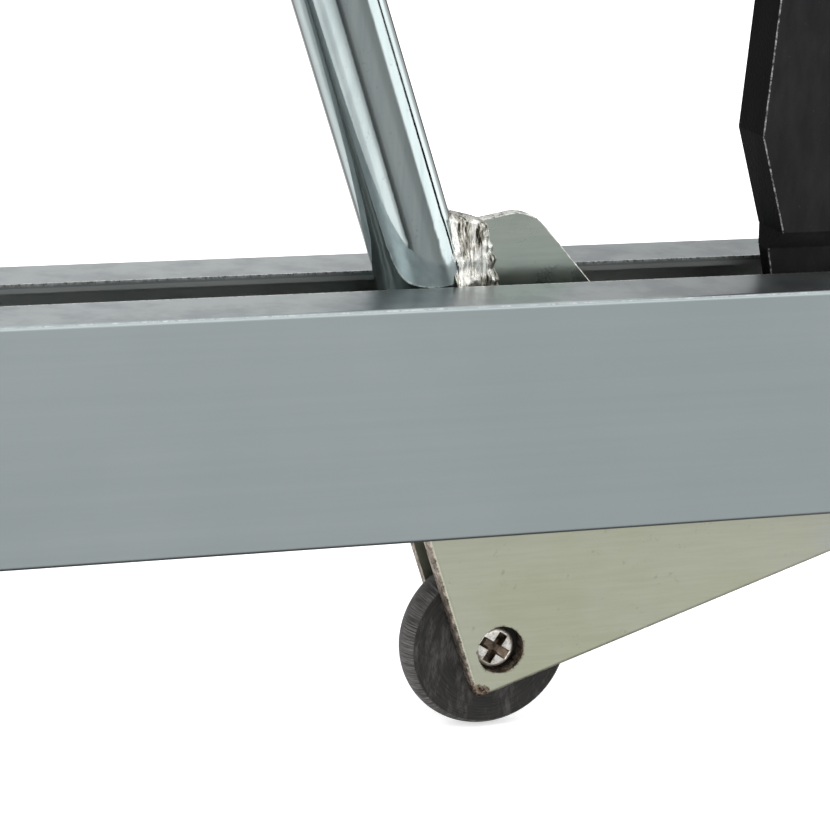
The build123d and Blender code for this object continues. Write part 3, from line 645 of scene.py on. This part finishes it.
def floor():
    """A white floor just under the feet, lit from within a little and left out of reflections."""
    half, below = 12.0, 0.0004
    n = Nodes("floor")
    mottle = n.noise(3.0, 3.0, 0.5)
    n.set(Base_Color=n.ramp(mottle, [(0.3, 0.93), (0.7, 0.95)]), Roughness=0.9, Specular_IOR_Level=0.0)
    n.set(Emission_Color=(1, 1, 1), Emission_Strength=0.5)
    mesh = bpy.data.meshes.new("floor")
    corners = [(-half, -half, 0), (half, -half, 0), (half, half, 0), (-half, half, 0)]
    mesh.from_pydata(corners, [], [(0, 1, 2, 3)])
    mesh.materials.append(n.material)
    obj = bpy.data.objects.new("floor", mesh)
    bpy.context.scene.collection.objects.link(obj)
    obj.location.z = -below
    obj.visible_glossy = False


# The brightness that the world's colour 1 stands for, because a colour ramp stops at 1.
BRIGHTEST = 3.0
# The brightness at each angle round from the front (-Y), in degrees and positive towards +X: light panels,
# and darker flags between them for the metal to reflect.
PANELS = (
    (-180, 0.85), (-168, 0.4), (-150, 1.9), (-134, 1.9), (-120, 1.2), (-107, 0.9), (-95, 0.7), (-87, 1.9),
    (-72, 1.95), (-60, 1.5), (-52, 1.65), (-44, 2.4), (-27, 2.4), (-20, 1.3), (-15, 0.12), (-9, 0.25),
    (-2, 0.65), (10, 0.8), (28, 0.8), (45, 0.62), (57, 0.55), (64, 2.9), (108, 2.9), (124, 1.0),
    (142, 0.12), (152, 0.4), (163, 0.8), (180, 0.85))
# The most that the right-hand panel gives off eye level, and the left-hand ones above their low band.
RIGHT_HELD, LEFT_HELD = 1.2, 1.1
# The brightness of the fill panel, of the ceiling and of the ground.
FILL = 1.9
OVERHEAD = 1.26
UNDERFOOT = 0.085


class Sky(Tree):
    """The world's nodes: a brightness for each direction, as glossy and diffuse rays see it."""

    def __init__(self, tree):
        super().__init__(tree)
        self.x, self.y, self.z = self.split(self.add("ShaderNodeTexCoord").outputs["Generated"])

    def bands(self, stops):
        """A brightness for each angle round from the front (-Y), in degrees and positive towards +X."""
        angle = self.math("ARCTAN2", self.x, self.math("MULTIPLY", self.y, -1.0))
        share = self.math("MULTIPLY_ADD", angle, 1 / (2 * math.pi), 0.5)
        return self.ramp(share, [((at + 180) / 360, value / BRIGHTEST) for at, value in stops])

    def turned(self, colour, value, share, blend="MIX"):
        """colour, turned to this brightness where share is 1."""
        return self.mix(share, colour, (value / BRIGHTEST,) * 3, blend)


def surroundings():
    """A white studio: soft all-round light, and panels and flags that only reflections and bounces see."""
    world = bpy.data.worlds.new("studio")
    bpy.context.scene.world = world
    world.use_nodes = True
    world.node_tree.nodes.clear()
    sky = Sky(world.node_tree)
    colour = sky.bands(PANELS)
    # The right-hand panel is a strip at eye level and the left-hand ones lie low, so that flat faces
    # don't burn out.
    off_level = sky.change(sky.math("ABSOLUTE", sky.z), 0.11, 0.17)
    right = sky.math("MULTIPLY", off_level, sky.change(sky.x, 0.3, 0.6))
    colour = sky.turned(colour, RIGHT_HELD, right, "DARKEN")
    not_low = sky.change(sky.z, -0.48, -0.38)
    left = sky.math("MULTIPLY", not_low, sky.change(sky.x, -0.05, -0.3))
    colour = sky.turned(colour, LEFT_HELD, left, "DARKEN")
    # A fill panel above the camera lights what the rails' top faces reflect.
    ahead = sky.change(sky.y, -0.6, -0.82)
    colour = sky.turned(colour, FILL, sky.math("MULTIPLY", ahead, sky.change(sky.z, 0.08, 0.24)))
    colour = sky.turned(colour, OVERHEAD, sky.change(sky.z, 0.35, 0.75))
    colour = sky.turned(colour, UNDERFOOT, sky.change(sky.z, -0.66, -0.84))
    panels = sky.add("ShaderNodeBackground", Strength=BRIGHTEST)
    sky.link(colour, panels.inputs["Color"])
    white = sky.add("ShaderNodeBackground", Color=(1, 1, 1, 1), Strength=1.0)
    choose = sky.add("ShaderNodeMixShader")
    sky.link(sky.add("ShaderNodeLightPath").outputs["Is Camera Ray"], choose.inputs["Fac"])
    sky.link(panels.outputs[0], choose.inputs[1])
    sky.link(white.outputs[0], choose.inputs[2])
    sky.link(choose.outputs[0], sky.add("ShaderNodeOutputWorld").inputs["Surface"])


def lamp(name, place, target, size, power):
    """A rectangular lamp at place, turned to the target; power is in watts."""
    data = bpy.data.lights.new(name, "AREA")
    data.shape = "RECTANGLE"
    data.size, data.size_y = size
    data.energy = power
    obj = bpy.data.objects.new(name, data)
    bpy.context.scene.collection.objects.link(obj)
    obj.location = place
    obj.rotation_mode = "QUATERNION"
    obj.rotation_quaternion = (Vector(target) - Vector(place)).to_track_quat("-Z", "Y")


set_camera()
floor()
surroundings()
lamp("key", (-1.6, -2.4, 2.6), (0, -0.2, 0.2), (1.6, 1.6), 30)
scene = bpy.context.scene
scene.view_settings.view_transform = "Standard"
